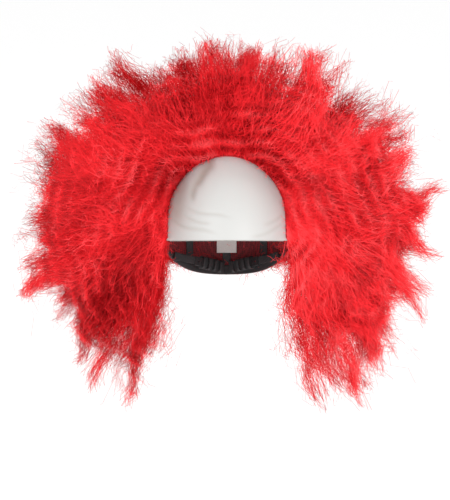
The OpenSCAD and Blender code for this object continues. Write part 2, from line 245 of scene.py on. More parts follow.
def body_normal(p):
    """The way out of the whole head of hair at points, tilted by the crimp's waves."""
    d = p - CENTRE
    out = unit(d / BODY ** 2)
    tilt = np.sin((ring(p) + wave_warp(p)) * (WHOLE_WAVE / WAVE)) * crimp_strength(p)
    return unit(out + 0.65 * tilt[..., None] * unit(d)).astype(np.float32)


def scatter(n, base):
    """Evenly spread numbers from 0 to 1."""
    i, out, part = np.arange(1, n + 1), np.zeros(n), 1.0
    while i.any():
        part /= base
        out += part * (i % base)
        i = i // base
    return out


def field(p, scale, seed, count=12):
    """Smooth noise over points, about -1 to 1, with bumps about as wide as scale."""
    made = np.random.default_rng(seed)
    way = unit(made.standard_normal((count, 3))) * made.uniform(0.6, 1.5, (count, 1)) * 3.1 / scale
    way = way.astype(np.float32)
    phase = (made.random(count) * WHOLE_WAVE).astype(np.float32)
    p = p.astype(np.float32)
    out = np.zeros(p.shape[:-1], np.float32)
    for w, f in zip(way, phase):
        out += np.sin(p @ w + f)
    return out / math.sqrt(count / 2) * 0.7


def hairline_place(t, k):
    """Turns (lam, phi) of a root at t along a row and at the share k from hairline to nape."""
    side, a = np.sign(t), np.radians(90 - np.abs(t))
    reach = (np.cos(a) ** ARCH_POWER + np.sin(a) ** ARCH_POWER) ** (1 / ARCH_POWER)
    lam_h = (ARCH_SIDE + 0.7) * np.cos(a) / reach
    phi_h = hem_phi(lam_h) + (ARCH_TOP - hem_phi(0.0) + 0.5) * np.sin(a) / reach
    lam_n = 71.0 * np.sin(np.radians(np.abs(t)))
    phi_n = nape_phi(lam_n) - 3.0
    return side * (lam_h + (lam_n - lam_h) * k), phi_h + (phi_n - phi_h) * k


def tip_direction(t, k):
    """The way from the middle to a strand's tip, for its root's place in the rows."""
    u = (np.abs(t) / ROW_END)[:, None]
    k = k[:, None]
    side = np.sign(t)[:, None] * np.array([1.0, 0, 0]) + np.array([0, 1.0, 1.0])
    turn = np.radians(-7 + 117 * k)
    middle = np.concatenate([0 * k, np.sin(turn), np.cos(turn)], 1)
    beside = np.concatenate([1 + 0 * k, -0.35 + 0.85 * k, 0.40 - 0.5 * k], 1)
    inwards = np.where(np.sign(t)[:, None] < 0, 0.49, 0.53)
    end = np.concatenate([inwards + (0.85 - inwards) * k, -0.16 + 0.61 * k, -0.88 + 0.46 * k], 1)
    return unit(((1 - u) ** 2 * middle + 2.4 * u * (1 - u) * beside + u ** 2 * end) * side)


def front_turn(d):
    """Turn from straight up, as seen from the front."""
    return np.degrees(np.arctan2(d[:, 0], d[:, 2]))


def envelope(d, flat):
    """Reach of the hair along d, from its reach in the front view."""
    depth = np.where(d[:, 1] > 0, DEPTH_BACK, DEPTH_FRONT)
    return 1 / np.sqrt((d[:, 0] ** 2 + d[:, 2] ** 2) / flat ** 2 + (d[:, 1] / depth) ** 2)


def curve(t, k, tip, s):
    """Each strand's own curve from its root at (t, k) to its tip, at the shares s of its way."""
    lam, phi = hairline_place(t, k)
    root = on_cap(lam, phi, ROOT_LIFT)
    u = np.abs(t) / ROW_END
    d = unit(tip - CENTRE)
    span = np.linalg.norm(tip - root, axis=1)[:, None]
    down = np.array([0, 0, -1.0])
    hang = (smooth(u, 0.80, 1.0) * 0.60 * (1 - 0.5 * k))[:, None]
    start = unit(cap_normal(root) * (1 - hang) + down * hang)
    droop = (smooth(u, 0.45, 0.95) * 0.9)[:, None]
    finish = unit(d * (1 - 0.7 * droop) + down * droop)
    p1 = root + start * span * 0.30
    p2 = tip - finish * span * 0.36
    s = s[:, :, None]
    a, b, c, e = (1 - s) ** 3, 3 * s * (1 - s) ** 2, 3 * s ** 2 * (1 - s), s ** 3
    return (a * root[:, None] + b * p1[:, None] + c * p2[:, None] + e * tip[:, None]).astype(np.float32)


def tips(t, k, share):
    """Tips of strands at a share of the hair's reach."""
    d = tip_direction(t, k)
    return CENTRE + d * (envelope(d, np.interp(front_turn(d), REACH_AT, REACH)) * share)[:, None]


def tuft_places():
    """Roots and tips of the tufts: two rows that make the outline, and the rest behind."""
    fine = np.linspace(-ROW_END, ROW_END, 353)
    t_all, k_all, tip_all = [], [], []
    for k0, added, longer in TUFT_ROWS:
        turn = front_turn(tip_direction(fine, np.full(len(fine), k0)))
        want = np.array([a for a, _ in TUFTS], float) + added
        t = np.interp(want, turn, fine)
        k = np.full(len(t), k0) + 0.03 * rng.standard_normal(len(t)).clip(-1, 1)
        d = tip_direction(t, k)
        reach = np.array([r for _, r in TUFTS], float) * longer
        t_all.append(t)
        k_all.append(k)
        tip_all.append(CENTRE + d * envelope(d, reach)[:, None])
    t = (scatter(BACK_TUFTS, 2) * 2 - 1) * (ROW_END - 2)
    k = 0.30 + 0.70 * scatter(BACK_TUFTS, 3)
    t_all.append(t)
    k_all.append(k)
    tip_all.append(tips(t, k, 1.0 + 0.10 * rng.random(BACK_TUFTS)))
    return np.concatenate(t_all), np.concatenate(k_all), np.concatenate(tip_all)


def spread_roots(n, seed):
    """Roots, thicker at the front and towards the sides, where the hair is fullest."""
    made = np.random.default_rng(seed)
    u = (scatter(n, 2) + made.random(n) * 0.01) % 1.0
    u = np.interp(u, [0, 0.30, 1.0], [0, 0.42, 1.0])
    side = np.where(scatter(n, 5) < 0.5, -1.0, 1.0)
    k = scatter(n, 3) ** 1.6
    return side * u * ROW_END, k


def sample_by_reach(dense, at, half, warp, steps):
    """Shares of each curve's way where its distance from the middle passes whole half waves."""
    reach = np.maximum.accumulate(ring(dense), axis=1) + warp[:, None]
    reach += np.linspace(0, 0.01, dense.shape[1])
    first = np.ceil(reach[:, 0] / half) * half
    want = first[:, None] + half * np.arange(steps)[None, :]
    last = reach[:, -1]
    out = np.ones(want.shape, np.float32)
    for a in range(dense.shape[1] - 1):
        low, high = reach[:, a:a + 1], reach[:, a + 1:a + 2]
        part = (want - low) / (high - low)
        inside = (part >= 0) & (part < 1)
        out = np.where(inside, at[a] + (at[a + 1] - at[a]) * part, out)
    out = np.where(want < last[:, None], out, 1.0)
    count = np.minimum((want < last[:, None]).sum(1) + 1, steps)
    s = np.concatenate([np.zeros((len(out), 1)), out], 1)
    parity = np.concatenate([first[:, None] - half, want], 1) / half
    return s, count, np.round(parity) % 2


def make_clumps():
    """Roots of the clumps, their own tips, the tips that they share with tufts, and their tints."""
    tuft_t, tuft_k, tuft_tip = tuft_places()
    t, k = spread_roots(CLUMPS, 1)
    near = ((t[:, None] - tuft_t) / 8.0) ** 2 + ((k[:, None] - tuft_k) / 0.13) ** 2
    tuft = np.argmin(near + 0.8 * rng.random(near.shape), axis=1)
    own = tips(t, k, 0.84 + 0.18 * rng.random(CLUMPS))
    for axis in range(3):
        own[:, axis] += 15 * field(own, 60.0, 20 + axis) + 8 * rng.standard_normal(CLUMPS)
    joins = rng.random(CLUMPS) < 0.58
    share = np.where(joins, 0.55 + 0.45 * rng.random(CLUMPS), 0.12 * rng.random(CLUMPS))[:, None]
    shared = own + (tuft_tip[tuft] - own) * share
    return t, k, own, shared, joins, rng.standard_normal(CLUMPS)


def hang_over(line, s, k, tip):
    """On the wearer's right an upper layer hangs over a lower one that falls straight down."""
    turn = front_turn(unit(tip - CENTRE))
    over = smooth(turn, -112, -98) * (1 - smooth(turn, -80, -55))
    under = smooth(turn, -165, -150) * (1 - smooth(turn, -118, -104))
    layer = ((over - under) * smooth(0.35 - k, 0.0, 0.25))[:, None]
    line[:, :, 1] -= 15 * layer * smooth(s, 0.05, 0.35) * (1 - smooth(s, 0.75, 1.0))
    line[:, :, 2] -= 14 * np.maximum(layer, 0) * smooth(s, 0.15, 0.7)
    return layer


def wander(line, s):
    """Locks of hair wander together, and thinner ones by themselves, more towards the tip."""
    for axis in range(3):
        line[:, :, axis] += 11 * (smooth(s, 0.1, 0.8) * (1 - 0.6 * s)) * field(line, 62.0, 30 + axis)
        line[:, :, axis] += 4 * smooth(s, 0.1, 0.6) * field(line, 24.0, 40 + axis)
        line[:, :, axis] += 9 * smooth(s, 0.6, 1.0) * field(line, 30.0, 50 + axis)
        line[:, :, axis] += 3 * smooth(s, 0.7, 1.0) * field(line, 13.0, 60 + axis)


def loosen(line, s, along, loose):
    """Gives each strand loose waves of its own, at mm along it, more the looser it is."""
    for length, size in LOOSE_WAVES:
        for axis in range(3):
            phase = rng.random((len(line), 1)) * WHOLE_WAVE
            line[:, :, axis] += size * (0.3 + s) * loose * np.sin(along / length * WHOLE_WAVE + phase)


def crimp(line, s, parity):
    """Kinks strands into zig-zags whose teeth line up with the neighbours'. Returns each point's
    way across its ribbon."""
    tangent = unit(np.gradient(line, axis=1) + 1e-6)
    sideways = unit(np.cross(tangent, body_normal(line)))
    normal = np.cross(sideways, tangent)
    tooth = np.where(parity == 0, 1.0, -1.0)   # crests where the bands are light
    rise = smooth(s, 0.0, 0.06) * np.where(s < 1, 1.0, 0.0)
    line += (tooth * rise * 2.2)[:, :, None] * normal
    line += (rng.standard_normal(s.shape) * rise * 0.9)[:, :, None] * normal
    line += (rng.standard_normal(s.shape) * rise * 2.8)[:, :, None] * sideways
    twist = rng.uniform(-0.35, 0.35, (len(line), 1, 1))
    return np.cos(twist) * sideways + np.sin(twist) * normal


def build_hair():
    """Lines, widths and tints of all strands, gathered into clumps, of which some share a tip."""
    clump_t, clump_k, own_tip, shared_tip, joins, clump_tint = make_clumps()
    m = STRANDS
    which = np.arange(m) % CLUMPS
    t = np.clip(clump_t[which] + rng.standard_normal(m) * 1.8, -ROW_END, ROW_END)
    k = np.clip(clump_k[which] + rng.standard_normal(m) * 0.012, 0, 1)
    stray = rng.random(m) < 0.03
    share = 1.02 - 0.60 * rng.random(m) ** 3 + stray * 0.06
    root = on_cap(*hairline_place(t, k), ROOT_LIFT)
    loose_tip = own_tip[which] + rng.standard_normal((m, 3)) * 9.0
    tip = root + (loose_tip - root) * share[:, None]
    guide = root + (shared_tip[which] - root) * share[:, None]
    at = np.linspace(0, 1, 25)
    dense = curve(t, k, tip, np.broadcast_to(at, (m, len(at))))
    s, count, parity = sample_by_reach(dense, at, WAVE / 2, wave_warp(tip), STEPS)
    line = curve(t, k, tip, s)
    hold = np.where(joins[which], 0.95, 0.80) * np.where(stray, 0.3, 1.0)
    gathers = np.where(joins[which], 0.66, 0.80)[:, None]
    line += (guide - tip)[:, None] * (hold[:, None] * smooth(s, gathers, 1.0))[:, :, None]
    layer = hang_over(line, s, k, tip)
    wander(line, s)
    along = (s * np.linalg.norm(tip - root, axis=1)[:, None]).astype(np.float32)
    loosen(line, s, along, np.where(stray, 2.6, 1.0)[:, None])
    keep_within(line)
    across = crimp(line, s, parity)
    width = (0.34 + 0.14 * rng.random(m))[:, None] * (1 - 0.1 * s)
    width = width * np.where(stray, 0.7, 1.0)[:, None]
    tint = colour_at(line) + 0.05 * rng.standard_normal(s.shape) - 0.16 * smooth(s, 0.8, 1.0)
    # painted light on the upper layer that hangs over, and painted shade on the lower layer beneath it
    tint += 0.03 * clump_tint[which][:, None] + 0.10 * layer * (1 - smooth(s, 0.5, 0.9))
    return dict(line=line, across=across, width=width, tint=tint, s=s, count=count)


def wave_warp(p):
    """How far the crimp's bands wander from round shells, in mm."""
    way = unit(p - CENTRE) * 150
    return 4.0 * field(way, 30.0, 9) + 6.0 * field(way, 90.0, 10)


def crimp_strength(p):
    """How strongly the crimp shows at points: it comes and goes in patches."""
    return np.clip(0.75 + 0.6 * field(p, 70.0, 5) + 0.6 * field(p, 22.0, 6), 0.1, 1.5)


def colour_at(p):
    """Tint of the hair at points: broad regions of its own tone, small patches that are partly its own
    tone and partly painted light and shade, the crimp's bands as painted light on the crests and painted
    shade in the troughs, and painted light towards the wearer's left, with darker hair towards the top.
    """
    far = ring(p)
    wave = np.cos((far + wave_warp(p)) * (WHOLE_WAVE / WAVE))
    tint = 0.57 + 0.07 * field(p, 75.0, 3) + 0.07 * field(p, 15.0, 4)
    # painted light and shade: the crimp's bands, light on the crests and dark in the troughs
    tint = tint + 0.30 * wave * crimp_strength(p)
    # painted light: lighter towards the wearer's left, where the key lamp shines; darker towards the top
    tint += 0.09 * np.clip(p[..., 0] / 150, -0.4, 1) - 0.04 * smooth(p[..., 2], 120, 220)
    d = p - CENTRE
    turn = np.degrees(np.arctan2(d[..., 0], AXIS_COS * d[..., 2] + AXIS_SIN * d[..., 1]))
    for at, out, wide, change in TONE_AND_SHADE_PATCHES:
        gap = (np.radians(turn - at) * out / wide) ** 2 + ((far - out) / wide) ** 2
        tint += change * np.exp(-gap)
    return tint


def build_frizz(hair):
    """Short fibres that stand off the strands in all directions, as after back-combing."""
    i = rng.integers(0, STRANDS, FRIZZ)
    j = 1 + (rng.random(FRIZZ) ** 0.65 * (hair["count"][i] - 2)).astype(int)
    start, after = hair["line"][i, j], hair["line"][i, j + 1]
    way = unit(unit(after - start) + 1.5 * rng.standard_normal((FRIZZ, 3)))
    points = [start + rng.standard_normal((FRIZZ, 3)) * 1.5]
    for _ in range(FRIZZ_STEPS):
        points.append(points[-1] + way * FRIZZ_STEP)
        way = unit(way + 0.6 * rng.standard_normal((FRIZZ, 3)))
    line = np.stack(points, 1).astype(np.float32)
    keep_within(line)
    across = unit(np.cross(np.gradient(line, axis=1), body_normal(line)))
    width = np.full(line.shape[:2], FRIZZ_WIDTH) * np.linspace(1, 0.6, FRIZZ_STEPS + 1)
    tint = colour_at(line) + 0.06 * rng.standard_normal((FRIZZ, 1))
    tint -= 0.10 * smooth(hair["s"][i, j], 0.8, 1.0)[:, None]
    return i, dict(line=line, across=across, width=width, tint=tint,
                   count=np.full(FRIZZ, FRIZZ_STEPS))


def keep_within(line):
    """Bends the ends of strands back softly at the greatest size of the wig."""
    for axis, (low, high) in enumerate(LIMITS):
        p = line[:, :, axis]
        over, under = np.maximum(p - high + BEND, 0), np.maximum(low + BEND - p, 0)
        bent_over, bent_under = BEND * (1 - np.exp(-over / BEND)), BEND * (1 - np.exp(-under / BEND))
        line[:, :, axis] = p - over + bent_over + under - bent_under


def lock_names(hair):
    """The CAD lock whose place each strand takes, by where its middle lies."""
    line, s = hair["line"], hair["s"]
    middle = line[np.arange(len(line)), np.argmin(np.abs(s - 0.6), axis=1)]
    az = np.degrees(np.arctan2(np.abs(middle[:, 0]), -middle[:, 1]))
    z = middle[:, 2]
    names = np.full(len(line), "", object)
    for low, high, stops in LOCK_PLACES:
        start = -1.0
        for name, stop in stops:
            for side, sign in SIDES.items():
                hit = (z >= low) & (z < high) & (az > start) & (az <= stop)
                names[hit & (np.sign(middle[:, 0] + 1e-9) == sign)] = f"{name}_{side}"
            start = stop
    return names


def ribbons(hair, pick):
    """Vertices, quads, tints, normals and UVs of the picked strands, as narrow ribbons."""
    line = hair["line"][pick]
    m, steps = line.shape[:2]
    half = 0.5 * hair["width"][pick][:, :, None] * hair["across"][pick]
    verts = np.stack([line - half, line + half], 2).reshape(-1, 3)
    ids = np.arange(m * steps * 2).reshape(m, steps, 2)
    real = np.arange(steps - 1)[None, :] < hair["count"][pick][:, None]
    quads = np.stack([ids[:, :-1, 0], ids[:, :-1, 1], ids[:, 1:, 1], ids[:, 1:, 0]], -1)[real]
    used = np.unique(quads)
    lookup = np.zeros(m * steps * 2, np.int32)
    lookup[used] = np.arange(len(used))
    tint = np.clip(np.repeat(hair["tint"][pick][:, :, None], 2, 2).reshape(-1)[used], 0.02, 0.98)
    # the map puts every face where its tint lies, so faces that share a place share a colour
    edge = np.tile([-0.004, 0.004], m * steps)[used]
    along = np.repeat(np.tile(np.linspace(0.02, 0.98, steps), m), 2)[used]
    facing = np.cross(hair["across"][pick], unit(np.gradient(line, axis=1)))
    normals = np.repeat(unit(facing + 1.6 * body_normal(line)).reshape(-1, 3), 2, axis=0)[used]
    return verts[used], lookup[quads], tint, normals, np.stack([tint + edge, along], 1)


HAIR = hair_material()
hair = build_hair()
frizz_of, frizz = build_frizz(hair)
locks = lock_names(hair)
for name in sorted(set(locks)):
    pick = locks == name
    verts, quads, tint, normals, uvs = ribbons(hair, pick)
    more = ribbons(frizz, pick[frizz_of])
    quads = np.concatenate([quads, more[1] + len(verts)])
    obj = make_mesh(f"hair_{name}", np.concatenate([verts, more[0]]), quads,
                    uvs=np.concatenate([uvs, more[4]]),
                    attributes={"tint": np.concatenate([tint, more[2]])},
                    normals=np.concatenate([normals, more[3]]))
    obj.data.materials.append(HAIR)
    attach(obj, "wig")
    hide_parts(name)


# ---- pieces laid on the cap ----
def arcs(grid):
    """Greatest lengths of a grid of points along its rows and its columns, and its area, in metres."""
    down = np.linalg.norm(np.diff(grid, axis=0), axis=2).sum(0).max() * MM
    along = np.linalg.norm(np.diff(grid, axis=1), axis=2).sum(1).max() * MM
    a, b = grid[1:, :-1] - grid[:-1, :-1], grid[:-1, 1:] - grid[:-1, :-1]
    return down, along, float(np.linalg.norm(np.cross(a, b), axis=2).sum()) * MM * MM


def closed_shell(name, inner, outer, attributes=None):
    """A closed mesh between two grids of points, outer being on the left of rows x columns."""
    rows, cols = inner.shape[:2]
    ids = np.arange(rows * cols).reshape(rows, cols)
    rim = np.concatenate([ids[0, :-1], ids[:-1, -1], ids[-1, :0:-1], ids[:0:-1, 0]])
    after = np.roll(rim, -1)
    size = rows * cols
    sides = np.stack([rim, after, after + size, rim + size], 1)
    quads = np.concatenate([grid_quads(rows, cols)[:, ::-1], grid_quads(rows, cols, size), sides])
    verts = np.concatenate([inner.reshape(-1, 3), outer.reshape(-1, 3)])
    both = {key: np.tile(value.ravel(), 2) for key, value in (attributes or {}).items()}
    return make_mesh(name, verts, quads, attributes=both)


def finish_piece(obj, cad_name, material):
    """Gives a piece its material, and has it ride on the wig in place of a CAD node."""
    obj.data.materials.append(material)
    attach(obj, "wig")
    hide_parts(cad_name)


def declare_sheet(grid):
    """Works out the flat size of a grid of points laid out, no narrower than LEAST_FLAT; nothing further
    is done with it.
    """
    wide, long, area = arcs(grid)
    wide, long = max(wide, LEAST_FLAT), max(long, LEAST_FLAT)


def woven_material(name, colour, dark, pitch, rough=0.8, depth=0.5, coat=0.0):
    """Threads as fine bands with a fine grain, as bump and as darker gaps between threads."""
    mat, tree, shader = new_material(name)
    place = node(tree, "ShaderNodeTexCoord")
    wave = node(tree, "ShaderNodeTexWave", wave_type="BANDS", Scale=1 / (pitch * 3.14),
                Distortion=1.5, Detail=2.0)
    wave.bands_direction = "DIAGONAL"
    grain = node(tree, "ShaderNodeTexNoise", Scale=1500.0, Detail=3.0)
    tree.links.new(place.outputs["Object"], wave.inputs["Vector"])
    tree.links.new(place.outputs["Object"], grain.inputs["Vector"])
    both = node(tree, "ShaderNodeMath", operation="MULTIPLY")
    tree.links.new(wave.outputs["Fac"], both.inputs[0])
    tree.links.new(grain.outputs["Fac"], both.inputs[1])
    mixed = ramp(tree, both.outputs["Value"], [(0.08, dark), (0.45, colour)])
    tree.links.new(mixed, shader.inputs["Base Color"])
    shader.inputs["Roughness"].default_value = rough
    shader.inputs["Sheen Weight"].default_value = coat
    bump = node(tree, "ShaderNodeBump", Strength=depth, Distance=0.0004)
    tree.links.new(both.outputs["Value"], bump.inputs["Height"])
    tree.links.new(bump.outputs["Normal"], shader.inputs["Normal"])
    return mat


def net_material():
    """Fine six-sided net: threads round darker holes."""
    mat, tree, shader = new_material("crown_net_mesh")
    place = node(tree, "ShaderNodeTexCoord")
    cells = node(tree, "ShaderNodeTexVoronoi", Scale=430.0, Randomness=0.35)
    cells.feature = "DISTANCE_TO_EDGE"
    tree.links.new(place.outputs["Object"], cells.inputs["Vector"])
    mixed = ramp(tree, cells.outputs["Distance"], [
        (0.0, (0.26, 0.012, 0.018)), (0.13, (0.20, 0.008, 0.014)), (0.22, (0.045, 0.003, 0.005))])
    tree.links.new(mixed, shader.inputs["Base Color"])
    shader.inputs["Roughness"].default_value = 0.7
    bump = node(tree, "ShaderNodeBump", Strength=0.6, Distance=0.0005)
    bump.invert = True
    tree.links.new(cells.outputs["Distance"], bump.inputs["Height"])
    tree.links.new(bump.outputs["Normal"], shader.inputs["Normal"])
    return mat


def plastic_material():
    mat, tree, shader = new_material("moulded_plastic")
    place = node(tree, "ShaderNodeTexCoord")
    grain = node(tree, "ShaderNodeTexNoise", Scale=2600.0, Detail=2.0)
    tree.links.new(place.outputs["Object"], grain.inputs["Vector"])
    mixed = ramp(tree, grain.outputs["Fac"], [
        (0.35, (0.012, 0.012, 0.013)), (0.7, (0.03, 0.03, 0.032))])
    tree.links.new(mixed, shader.inputs["Base Color"])
    shader.inputs["Roughness"].default_value = 0.38
    bump = node(tree, "ShaderNodeBump", Strength=0.25, Distance=0.0001)
    tree.links.new(grain.outputs["Fac"], bump.inputs["Height"])
    tree.links.new(bump.outputs["Normal"], shader.inputs["Normal"])
    return mat


def panel_material():
    """Off-white smooth cloth, with painted shade, warmer and darker, in its folds and along its lower
    edge, and painted light towards the top.
    """
    mat, tree, shader = new_material("forehead_cloth")
    place = node(tree, "ShaderNodeTexCoord")
    painted_shade = node(tree, "ShaderNodeAttribute", attribute_name="painted_shade")
    colour = ramp(tree, painted_shade.outputs["Fac"], [
        (0.0, (0.57, 0.60, 0.59)), (0.12, (0.49, 0.49, 0.477)), (0.40, (0.42, 0.41, 0.385)),
        (0.75, (0.31, 0.275, 0.24)), (1.0, (0.10, 0.08, 0.07))])
    tree.links.new(colour, shader.inputs["Base Color"])
    grain = node(tree, "ShaderNodeTexNoise", Scale=2400.0, Detail=3.0)
    tree.links.new(place.outputs["Object"], grain.inputs["Vector"])
    shader.inputs["Roughness"].default_value = 0.5
    bump = node(tree, "ShaderNodeBump", Strength=0.12, Distance=0.0003)
    tree.links.new(grain.outputs["Fac"], bump.inputs["Height"])
    tree.links.new(bump.outputs["Normal"], shader.inputs["Normal"])
    return mat


PANEL = panel_material()
NET = net_material()
PLASTIC = plastic_material()
ELASTIC = woven_material("ribbed_elastic", (0.055, 0.052, 0.055), (0.012, 0.011, 0.012), 0.0011)
TAPE = woven_material("twill_tape", (0.07, 0.066, 0.07), (0.014, 0.013, 0.014), 0.0008)
VELVET = woven_material("velvet", (0.035, 0.033, 0.036), (0.010, 0.009, 0.010), 0.0006, rough=0.95,
                        coat=0.6)
WEFT = woven_material("weft_stitching", (0.62, 0.012, 0.02), (0.24, 0.004, 0.008), 0.0009)
BINDING = woven_material("binding_cloth", (0.60, 0.010, 0.018), (0.30, 0.004, 0.008), 0.0007)
LABEL = woven_material("label_satin", (0.78, 0.77, 0.74), (0.62, 0.61, 0.58), 0.0005, rough=0.45,
                       depth=0.2)

# Folds of the panel: two ends as (x, height) in mm seen from the front, half width, depth.
FOLDS = [((-15, 123), (-34, 103), 4.0, 1.3), ((-33, 106), (-40, 86), 3.6, 0.9),
         ((-48, 104), (-62, 58), 8.0, 0.7), ((-47, 79), (4, 75), 1.8, 0.40),
         ((-48, 70), (-18, 67), 1.8, 0.42), ((-62, 61), (-12, 58), 2.0, 0.45),
         ((42, 63), (66, 66), 2.2, 0.35), ((28, 53), (66, 56), 2.0, 0.35)]


def fold_depth(p):
    """Depth of the panel's folds at points, in mm, and the share of each fold's full depth."""
    x, z = p[..., 0], p[..., 2]
    depth, share = np.zeros(x.shape), np.zeros(x.shape)
    for (x0, z0), (x1, z1), half, deep in FOLDS:
        run = math.hypot(x1 - x0, z1 - z0)
        ux, uz = (x1 - x0) / run, (z1 - z0) / run
        along = (x - x0) * ux + (z - z0) * uz
        across = ((x - x0) * -uz + (z - z0) * ux) + 1.2 * np.sin(along * 0.13)
        ends = smooth(along, -0.12 * run, 0.22 * run) * (1 - smooth(along, 0.75 * run, 1.12 * run))
        shape = np.exp(-(across / half) ** 2) * ends
        depth += deep * (shape - 0.45 * np.exp(-((across + 2.2 * half) / (1.4 * half)) ** 2) * ends)
        share += min(1.0, deep / 1.6) * shape
    return depth, share


# Heights of the layers over the cap's plain shape, from their inner to their outer face, in mm.
PANEL_FACE, PANEL_THICK = 1.6, 1.0
HEM_LAYER, NET_LAYER, BAND_LAYER = (-1.6, -0.5), (0.1, 1.1), (-1.6, -0.6)
BINDING_LAYER, WEFT_LAYER = (1.6, 2.5), (1.6, 3.4)
# Widths in mm.
HEM_W, WEFT_W, BAND_W, TAPE_W = 9, 6, 11, 10
# Turns round the cap in degrees: how far bands reach, and the width of the bands at the ears.
HEM_END, SIDE_TAPE, BAND_END, EAR_TURN = 53.5, 34.0, 62, 7
TEMPLE_ROWS, TEMPLE_FROM, TEMPLE_TO = (64.0, 77.0, 90.0), 64.0, 75.0
# The sewn rows of hair over the crown, and the turn of the first one.
WEFT_ROWS, FIRST_ROW = 7, ARCH_TOP + 14


def bald_panel():
    """The stretched cloth over the forehead, with its folds, painted shade in them and a painted shadow
    line along its lower edge.
    """
    cols, rows = 201, 161
    lam = 0.9995 * ARCH_SIDE * np.sin(np.linspace(-math.pi / 2, math.pi / 2, cols))
    part = 1 - (1 - np.linspace(0, 1, rows)[:, None]) ** 1.15
    phi = hem_phi(lam) + (arch_phi(lam, 0.3) - hem_phi(lam)) * part
    lam = np.broadcast_to(lam, phi.shape)
    plain = on_cap(lam, phi, PANEL_FACE)
    depth, share = fold_depth(plain)
    flare = 1.6 * smooth(np.abs(lam), 44, 54) * (1 - smooth(part, 0.0, 0.12))
    outer = plain + cap_normal(plain) * (flare - depth)[..., None]
    inner = outer - cap_normal(plain) * PANEL_THICK
    # painted shadow line along the lower edge, where the panel meets the forehead
    edge = 0.75 * (1 - smooth(part, 0.0, 0.006)) + 0 * lam
    # painted light towards the top and painted shade towards the wearer's right
    base = 0.12 * (1 - smooth(part, 0.62, 1.0)) + 0.05 * smooth(-lam, 10, 50)
    # painted shade, deeper in the folds, added to the edge line and the base above
    obj = closed_shell("bald_forehead_panel", inner, outer,
                       {"painted_shade": np.clip(base + 0.62 * share + edge, 0, 1)})
    finish_piece(obj, "bald_front", PANEL)
    declare_sheet(plain)


def strip(name, cad_name, material, lam, phi, layer, relief, sheet=False):
    """A piece between two heights over the cap; relief takes mm along and the share across."""
    lam = np.broadcast_to(lam, phi.shape)
    low, high = layer
    middle = on_cap(lam, phi, (low + high) / 2)
    run = np.concatenate([np.zeros((len(lam), 1)),
                          np.cumsum(np.linalg.norm(np.diff(middle, axis=1), axis=2), axis=1)], 1)
    bump = relief(run, np.linspace(-1, 1, len(lam))[:, None])
    outer, inner = on_cap(lam, phi, high + bump), on_cap(lam, phi, low - 0.3 * bump)
    corner = outer[0, 0]
    if np.cross(outer[1, 0] - corner, outer[0, 1] - corner) @ corner > 0:
        outer, inner = outer[:, ::-1], inner[:, ::-1]
    obj = closed_shell(name, inner, outer)
    finish_piece(obj, cad_name, material)
    if sheet:
        declare_sheet(middle)


def plain_cloth(run, share):
    return 0.0 * run * share


def ribs(pitch, size):
    """Ribs across a band, with its edges rounded off."""
    def relief(run, share):
        wave = size * np.cos(run * WHOLE_WAVE / pitch)
        return wave * (1 - share ** 4) - 0.15 * share ** 4
    return relief


def stitched(pitch, size):
    """Rounded across, with two rows of stitches pulled in."""
    def relief(run, share):
        rows = np.exp(-((np.abs(share) - 0.5) / 0.14) ** 2)
        pulled = size * rows * (0.5 + 0.5 * np.cos(run * WHOLE_WAVE / pitch))
        return 0.25 * (1 - share ** 2) - pulled
    return relief


def sewn_weft(run, share):
    """Bundles of hair folded over and sewn down in three rows."""
    bundle = np.cos(run * WHOLE_WAVE / 1.8 + 2.2 * share)
    rows = np.cos(share * 9.0) ** 2
    return 0.22 * bundle * (1 - 0.6 * rows) - 0.12 * rows


def along_arch(low, high, rows, cols):
    """Turns of a band that follows the arch, between two distances from it in degrees."""
    a = np.radians(np.linspace(178, 2, cols))
    reach = (np.abs(np.cos(a)) ** ARCH_POWER + np.sin(a) ** ARCH_POWER) ** (1 / ARCH_POWER)
    grow = np.linspace(low, high, rows)[:, None]
    lam = (ARCH_SIDE + grow) * np.cos(a) / reach
    return lam, hem_phi(lam) + (ARCH_TOP - hem_phi(0.0) + grow) * np.sin(a) / reach


def between(starts, ends, rows):
    """Rows of turns spread evenly from starts to ends."""
    part = np.linspace(0, 1, rows)[:, None]
    return starts + (ends - starts) * part


def degrees_of(length):
    return math.degrees(length / HALF_L)


def band_round(lam, middle, width, rows=7):
    """Rows of turns of a band of even width along one row of the cap."""
    half = degrees_of(width) / 2
    return middle + np.linspace(-half, half, rows)[:, None] + 0 * lam


def front_hem():
    """The panel's lower edge, folded under and sewn."""
    lam = np.linspace(-HEM_END, HEM_END, 260)
    phi = between(hem_phi(lam), hem_phi(lam) + degrees_of(HEM_W), 9)
    strip("front_hem_fold", "front_hem", PANEL, lam, phi,
          HEM_LAYER, stitched(2.6, 0.2))


def hairline():
    """The binding over the panel's arched edge, and the first row of hair behind it."""
    lam, phi = along_arch(-0.6, 2.4, 7, 700)
    strip("hairline_binding_strip", "hairline_binding", BINDING, lam, phi,
          BINDING_LAYER, stitched(2.2, 0.25))
    lam, phi = along_arch(3.2, 3.2 + degrees_of(WEFT_W), 9, 900)
    strip("hairline_weft_sewn", "hairline_weft", WEFT, lam, phi,
          WEFT_LAYER, sewn_weft)


def crown_net():
    """The net, which starts at the arch in front and at the hem on both sides of it."""
    arch_end = ARCH_SIDE + 1.2
    lam = np.concatenate([np.linspace(-EAR_EDGE, -arch_end - 0.4, 12),
                          arch_end * np.sin(np.linspace(-1.57, 1.57, 90)),
                          np.linspace(arch_end + 0.4, EAR_EDGE, 12)])
    start = np.where(np.abs(lam) < arch_end, arch_phi(lam, 1.2), hem_phi(lam))
    strip("crown_net_cap", "crown_net", NET, lam, between(start, nape_phi(lam), 90),
          NET_LAYER, plain_cloth, sheet=True)


